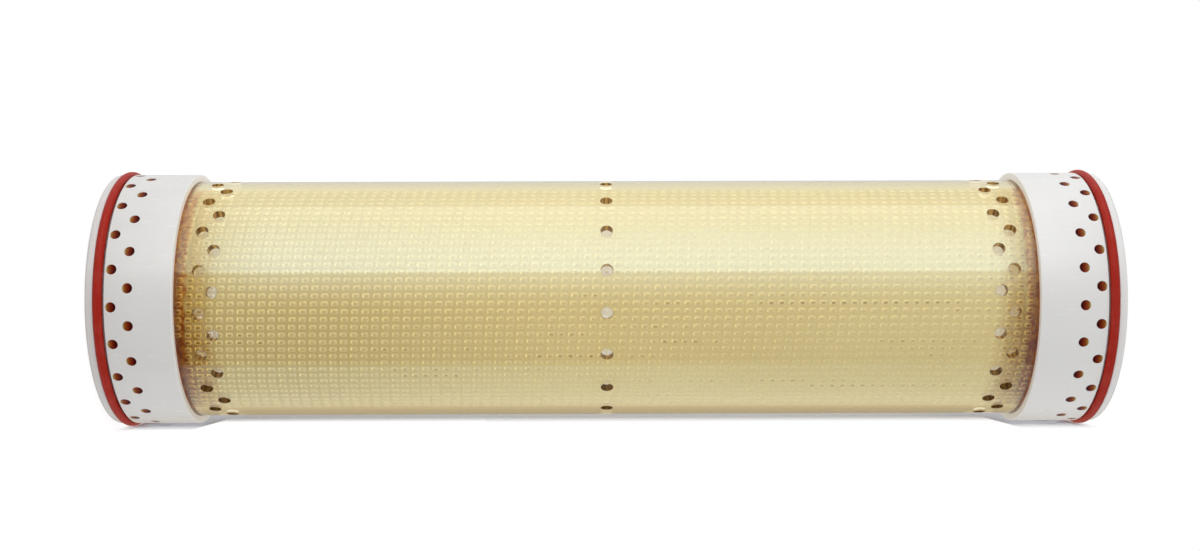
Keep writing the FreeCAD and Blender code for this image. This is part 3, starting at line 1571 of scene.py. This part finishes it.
@dataclass
class FibreBundle:
    """The fibres: a bar of threads, and thousands of cut hollow ends on both end faces."""

    sizes: Sizes
    fibre_radius: float = 0.95 * MM
    bore_radius: float = 0.48 * MM
    bore_flare: float = 1.12
    bore_depth: float = 0.12 * MM
    fibre_scale: Pair = (0.9, 1.06)
    spacing: float = 2.15 * MM
    bar_recess: float = 0.4 * MM
    threads: int = 480
    thread_depth: float = 0.7 * MM
    density: float = 900000.0
    disc_segments: int = 96
    seed: int = 5

    def bar(self, finish: Material) -> Object:
        """Builds the bar, with a ridge for each outer thread.

        Args:
            finish: Material of the piece.

        Returns:
            The bar.
        """
        recess = self.bar_recess
        radius = self.sizes.bundle_radius
        count = self.threads * 2
        vertices: list[Triple] = []
        for height in (recess, self.sizes.length - recess):
            crests = ring_points(radius, height, count)
            valleys = ring_points(radius - self.thread_depth, height, count)
            for number in range(0, count, 2):
                vertices += [crests[number], valleys[number + 1]]
        faces = band(count) + [tuple(reversed(range(count))), tuple(range(count, 2 * count))]
        obj = mesh_object("fibre_bundle_threads", vertices, faces)
        obj.data.materials.append(finish)
        return place(obj, "fibre_bundle")

    def cut_end(self) -> Object:
        """One hollow fibre end, flat, with an attribute that marks its bore.

        Returns:
            The fibre end, a helper object.
        """
        sides = 8
        vertices = ring_points(self.fibre_radius, 0.0, sides)
        vertices += ring_points(self.bore_radius, 0.0, sides)
        vertices += ring_points(self.bore_radius * self.bore_flare, -self.bore_depth, sides)
        floor = tuple(range(2 * sides, 3 * sides))
        obj = mesh_object("fibre_end", vertices, band(sides) + [floor])
        return mark_points(obj, "bore", [0.0] * (2 * sides) + [1.0] * sides)

    def ends(self, end: End, finish: Material) -> Object:
        """Builds the cut ends of one face with a geometry tree.

        Args:
            end: The end of the cartridge.
            finish: Material of the piece.

        Returns:
            All cut ends of the face, as one object.
        """
        shape = self.cut_end()
        name = end.value + "_fibre_ends"
        reach = self.sizes.bundle_radius - self.fibre_radius
        disc = turned(name, [(0.0, 0.0), (reach, 0.0)], self.disc_segments)
        tree = GeometryTree(name)
        spacing = tree.input("Spacing", Socket.LENGTH, self.spacing)
        shape_input = tree.input("Fibre end", Socket.OBJECT, shape)
        material = tree.input("Material", Socket.MATERIAL, finish)
        seed = tree.input("Seed", Socket.COUNT, self.seed + (end is End.UPPER))
        points = tree.node("GeometryNodeDistributePointsOnFaces", {"distribute_method": "POISSON"},
                           {"Mesh": tree.geometry, "Distance Min": spacing,
                            "Density Max": self.density, "Seed": seed}, "Points")
        size = tree.random(*self.fibre_scale, Seed=seed)
        cut_ends = tree.node("GeometryNodeInstanceOnPoints", None,
                             {"Points": points, "Instance": tree.shape(shape_input),
                              "Scale": tree.vector(size, size, 1.0)})
        tree.run(disc, tree.finish(cut_ends, material))
        remove(shape)
        disc.data.transform(Matrix.Translation((0, 0, self.sizes.length)))
        if end is End.LOWER:
            turn_over(disc, self.sizes.length)
        return place(disc, "fibre_bundle")


def aimed(obj: Object, location: Triple, back: Vector, up: Vector) -> Object:
    """Puts a new light or camera into the scene.

    Args:
        obj: The light or camera, which looks along its own -Z.
        location: Where it stands.
        back: The way that it looks away from.
        up: The way that its own +Y comes nearest to.

    Returns:
        The same object.
    """
    bpy.context.scene.collection.objects.link(obj)
    back = back.normalized()
    side = up.cross(back).normalized()
    turn = Matrix((side, back.cross(side), back)).transposed().to_4x4()
    obj.matrix_world = Matrix.Translation(location) @ turn
    return obj


@dataclass(frozen=True)
class Softbox:
    """A rectangular studio light, with its long side along Z."""

    name: str
    location: Triple
    target: Triple
    size: Pair
    strength: float

    def build(self) -> Object:
        """Builds the light, hidden from camera and gloss. The world shows its reflection.

        Returns:
            The light.
        """
        light = bpy.data.lights.new(self.name, "AREA")
        light.shape = "RECTANGLE"
        light.size, light.size_y = self.size
        light.energy = self.strength * math.pi * self.size[0] * self.size[1]
        obj = bpy.data.objects.new(self.name, light)
        aimed(obj, self.location, Vector(self.location) - Vector(self.target), Vector((0, 0, 1)))
        obj.visible_camera = False
        obj.visible_glossy = False
        obj.visible_transmission = False
        return obj


@dataclass(frozen=True)
class BackdropCard:
    """Card beside the standing cartridge, which catches the soft shadow close under it.

    Only the camera sees it, from its face and at about the slant of the photograph's own view. It
    fades out in front of the cartridge, later beside an end ring, and behind it and past its ends.
    Each pair runs from where the card is clear to where it shows in full.
    """

    x: float
    length: float
    extent: float
    colour: Colour = (0.66, 0.68, 0.74)
    front: Pair = (0.02, 0.10)
    back: Pair = (0.20, 0.12)
    by_ring: Pair = (0.100, 0.086)
    ring_shift: float = 0.09
    end_fade: float = 0.02
    slant_start: Pair = (0.885, 0.900)
    slant_end: Pair = (0.940, 0.928)

    def build(self) -> Object:
        """Builds the card and dresses it.

        Returns:
            The card.
        """
        x, half = self.x, self.extent / 2
        corners = [(x, -half, 0.0), (x, -half, half), (x, half, half), (x, half, 0.0)]
        card = mesh_object("backdrop_card", corners, [(0, 1, 2, 3)])
        card.data.materials.append(self._material())
        return card

    def _material(self) -> Material:
        """A matt surface that is clear where the card isn't to be seen.

        Returns:
            The material.
        """
        made = Finish("card_white")
        half = self.length / 2
        from_middle = abs(made.height - half)
        by_ring = from_middle.step(half - self.by_ring[0], half - self.by_ring[1])
        place_share = (made.y + by_ring * self.ring_shift).step(*self.front)
        place_share = place_share * made.y.step(*self.back)
        place_share = place_share * from_middle.step(half, half - self.end_fade)
        slant = made.node("ShaderNodeLayerWeight", None, {"Blend": 0.5}, "Facing")
        slant_share = slant.step(*self.slant_start) * slant.step(*self.slant_end)
        face = 1.0 - made.node("ShaderNodeNewGeometry", output="Backfacing")
        seen = made.ray("Is Camera Ray") * face * place_share * slant_share
        clear = made.node("ShaderNodeBsdfTransparent")
        matt = made.node("ShaderNodeBsdfDiffuse", None, {"Color": self.colour})
        return made.node_output(made.blend(seen, clear, matt))


@dataclass
class Studio:
    """Floor, backdrop, light and camera.

    A side is an angle about the cartridge in degrees, 0 towards the camera and positive towards -X,
    where the softbox is. A rise is the height of a direction, from -1 straight down to 1 straight up.
    Their pairs run from where a thing starts to where it is complete, or to where it ends. Foot and
    head are how the softbox fades towards the two end rings, which shade the tube beside them. The
    bright low side is met only by light that has passed this many surfaces of the tube.
    """

    sizes: Sizes
    camera_location: Triple = (-0.02433, -1.7606, 0.51706)
    camera_forward: Triple = (0.0, 1.0, 0.00535)
    camera_up: Triple = (-1.0, 0.0, 0.00271)
    lens: float = 47.78
    lamp_place: Pair = (-1.029, -0.513)
    lamp_beyond: float = 0.35
    lamp_size: Pair = (1.79, 2.8)
    lamp_strength: float = 0.187
    edge: float = 1.0
    darkest: float = 0.05
    ambient: float = 0.95
    unlit_side: Pair = (-67.7, 25.6)
    unlit_rise: Pair = (0.50, 0.40)
    unlit_level: float = 0.06
    unlit_fill: float = 0.40
    unlit_slant: float = 0.5
    slant_rise: Pair = (-0.05, 0.3)
    penumbra_side: Pair = (-13.0, 25.6)
    penumbra_level: Pair = (1.0, 0.8)
    softbox_side: Pair = (25.6, 101.4)
    softbox_level: float = 4.1
    softbox_fall: float = 1.5
    fall_side: Pair = (40.0, 95.0)
    foot_rise: Pair = (-0.19, -0.27)
    foot_level: float = 0.0
    head_rise: Pair = (0.25, 0.275)
    head_level: float = 0.1
    haze_side: Pair = (101.4, 125.0)
    haze_start: float = 3.0
    haze_level: float = 1.5
    low_rise: Pair = (-0.42, -0.62)
    low_level: float = 3.4
    low_passes: float = 3.5
    high_rise: Pair = (0.42, 0.62)
    high_level: float = -0.95
    ground_side: Pair = (-67.7, -96.0)
    ground_level: Pair = (0.84, 1.0)
    ground_fill: float = 0.84
    shadow_side: Pair = (-115.0, -150.0)
    shadow_level: float = 0.52
    shadow_tint: Colour = (1.0, 0.86, 0.66)
    back_side: Pair = (125.0, 150.0)
    back_level: float = 0.80
    floor_size: float = 12.0
    floor_colour: Colour = (0.86, 0.86, 0.86)
    floor_glow: float = 1.30
    floor_glow_share: float = 0.60
    card_gap: float = 0.3 * MM

    def build(self) -> None:
        """Builds the whole studio."""
        self._world()
        self._floor()
        beside = self.sizes.ring_radius + SealRing.stand_out + self.card_gap
        card = BackdropCard(beside, self.sizes.length, self.floor_size).build()
        self._camera()
        height = self.sizes.length / 2 + self.lamp_beyond
        lamp = Softbox("softbox_upper", (*self.lamp_place, height), (0.0, 0.0, height),
                       self.lamp_size, self.lamp_strength)
        lamp.build()

    def _world(self) -> None:
        """White for the camera, a studio for gloss and clear plastic, and plain ambient light."""
        world = bpy.data.worlds.new("studio")
        world.use_nodes = True
        tree = NodeTree(world.node_tree)
        tree.tree.nodes.clear()
        camera = tree.ray("Is Camera Ray")
        mirrored = tree.ray("Is Glossy Ray").larger(tree.ray("Is Transmission Ray"))
        mirrored = mirrored * (1.0 - tree.ray("Diffuse Depth").smaller(1.0))
        x, y, rise = tree.parts(tree.node("ShaderNodeTexCoord", output="Generated"))
        around = (x * -1.0).angle_from(y * -1.0) * (180.0 / math.pi)
        unlit = self._between(around, self.unlit_side) * abs(rise).step(*self.unlit_rise)
        ground_edge = self.ground_side[0]
        ground = around.step(ground_edge + self.edge, ground_edge - self.edge)
        shadow = around.step(*self.shadow_side)

        fill = self.ambient * (1.0 - unlit * (1.0 - self.unlit_fill)
                               - ground * (1.0 - self.ground_fill))
        gloss = self._lit(around, rise, unlit) - self._greyed(around, ground, shadow)
        gloss = gloss + rise.step(*self.high_rise) * self.high_level
        low = rise.step(*self.low_rise) * (tree.ray("Transmission Depth") > self.low_passes)
        gloss = (gloss + low * self.low_level).larger(self.darkest)
        strength = camera + mirrored * gloss + (1.0 - camera - mirrored) * fill
        colour = tree.node("ShaderNodeMix", {"data_type": "RGBA"}, {
            "Factor": shadow * mirrored, "A": (1.0, 1.0, 1.0), "B": self.shadow_tint}, "Result")
        back = tree.node("ShaderNodeBackground", None, {"Color": colour, "Strength": strength})
        out = tree.tree.nodes.new("ShaderNodeOutputWorld")
        tree.tree.links.new(back.socket, out.inputs["Surface"])
        bpy.context.scene.world = world

    def _lit(self, around: Expression, rise: Expression, unlit: Expression) -> Expression:
        """Level of the unlit side and of the softbox with its soft edges.

        Args:
            around: Angle of the direction, in degrees.
            rise: Height of the direction.
            unlit: 1 on the unlit side.

        Returns:
            The level that gloss and clear plastic see, where 1 is white.
        """
        ends = 1.0 - rise.step(*self.foot_rise) * (1.0 - self.foot_level)
        ends = ends * (1.0 - rise.step(*self.head_rise) * (1.0 - self.head_level))
        slant = self.unlit_level + rise.step(*self.slant_rise) * self.unlit_slant
        lit = self.softbox_level - 1.0 - around.step(*self.fall_side) * self.softbox_fall
        start, end = self.haze_side
        haze = around.step(start - self.edge, start + self.edge)
        haze = haze * around.step(end, start + self.haze_start) * (self.haze_level - 1.0)
        soft = around.step(*self.penumbra_side)
        even, steep = self.penumbra_level
        penumbra = unlit * soft * (even + soft * soft * steep)
        bright = self._between(around, self.softbox_side) * lit + haze + penumbra
        return 1.0 - unlit * (1.0 - slant) + bright * ends

    def _greyed(self, around: Expression, ground: Expression, shadow: Expression) -> Expression:
        """How much greyer than white the ground, the shadow on it and the back are.

        Args:
            around: Angle of the direction, in degrees.
            ground: 1 on the side of the ground.
            shadow: 1 where the cartridge's shadow lies on it.

        Returns:
            What is taken off the level of white.
        """
        near, far = self.ground_level
        grey = near + around.step(*self.ground_side) * (far - near)
        grey = grey - shadow * (far - self.shadow_level)
        return ground * (1.0 - grey) + around.step(*self.back_side) * (1.0 - self.back_level)

    def _between(self, around: Expression, side: Pair) -> Expression:
        """1 between two angles, with edges that are twice the edge's width.

        Args:
            around: Angle of the direction, in degrees.
            side: The two angles, the lower one first.

        Returns:
            1 there, and 0 elsewhere.
        """
        low, high = side
        rising = around.step(low - self.edge, low + self.edge)
        return rising * around.step(high + self.edge, high - self.edge)

    def _floor(self) -> None:
        """Pale floor on which the cartridge stands, whitened where the camera sees it."""
        half, level = self.floor_size / 2, -0.1 * MM
        corners = [(-half, -half, level), (half, -half, level), (half, half, level),
                   (-half, half, level)]
        floor = mesh_object("floor", corners, [(0, 1, 2, 3)])
        made = Finish("floor_white")
        matt = made.node("ShaderNodeBsdfDiffuse", None, {"Color": self.floor_colour})
        glow = made.node("ShaderNodeEmission", None, {"Strength": self.floor_glow})
        share = made.ray("Is Camera Ray") * self.floor_glow_share
        floor.data.materials.append(made.node_output(made.blend(share, matt, glow)))
        floor.visible_glossy = False
        floor.visible_transmission = False

    def _camera(self) -> None:
        """Camera at the photograph's angle, turned so that the axis lies level in the picture."""
        data = bpy.data.cameras.new("camera")
        data.sensor_width = 36.0
        data.sensor_fit = "HORIZONTAL"
        data.lens = self.lens
        camera = bpy.data.objects.new("camera", data)
        aimed(camera, self.camera_location, -Vector(self.camera_forward), Vector(self.camera_up))
        bpy.context.scene.camera = camera


def main() -> None:
    """Builds every piece of the cartridge and the studio round it."""
    logging.basicConfig(level=logging.INFO, format="%(name)s %(message)s")
    bpy.context.scene.view_settings.view_transform = "Standard"
    sizes = Sizes.from_frame()

    white = WhitePlastic().material(sizes.length, sizes.ring_length)
    red = SealRubber().material()
    block = CastResin().material(sizes.length, sizes.ring_length)
    rings = [EndRing(sizes, End.LOWER, LOWER_RING_TURN), EndRing(sizes, End.UPPER, UPPER_RING_TURN)]
    plug = PlugResin().material(sizes.length, rings[0].rows, rings[0].hole_radius)
    for ring in rings:
        ring.build(white)
        SealRing(sizes, ring).build(red)
        Potting(sizes, ring).build(block, plug)

    tube = ShellTube(sizes)
    rows = [height for height, _ in tube.rows[:3]]
    cut = CutAmber().material(sizes.length, rows, tube.hole_radius)
    tube.build(ClearAmber().material(), cut)
    net = NetSleeve(sizes)
    net.build(NetPlastic().material(sizes.length, sizes.resin_level, sizes.net_foot, net.pattern))

    fibre = Fibre()
    bundle = FibreBundle(sizes)
    bundle.bar(fibre.bundle_material())
    ends = fibre.material()
    for end in End:
        bundle.ends(end, ends)

    Studio(sizes).build()


if __name__ == "__main__":
    main()
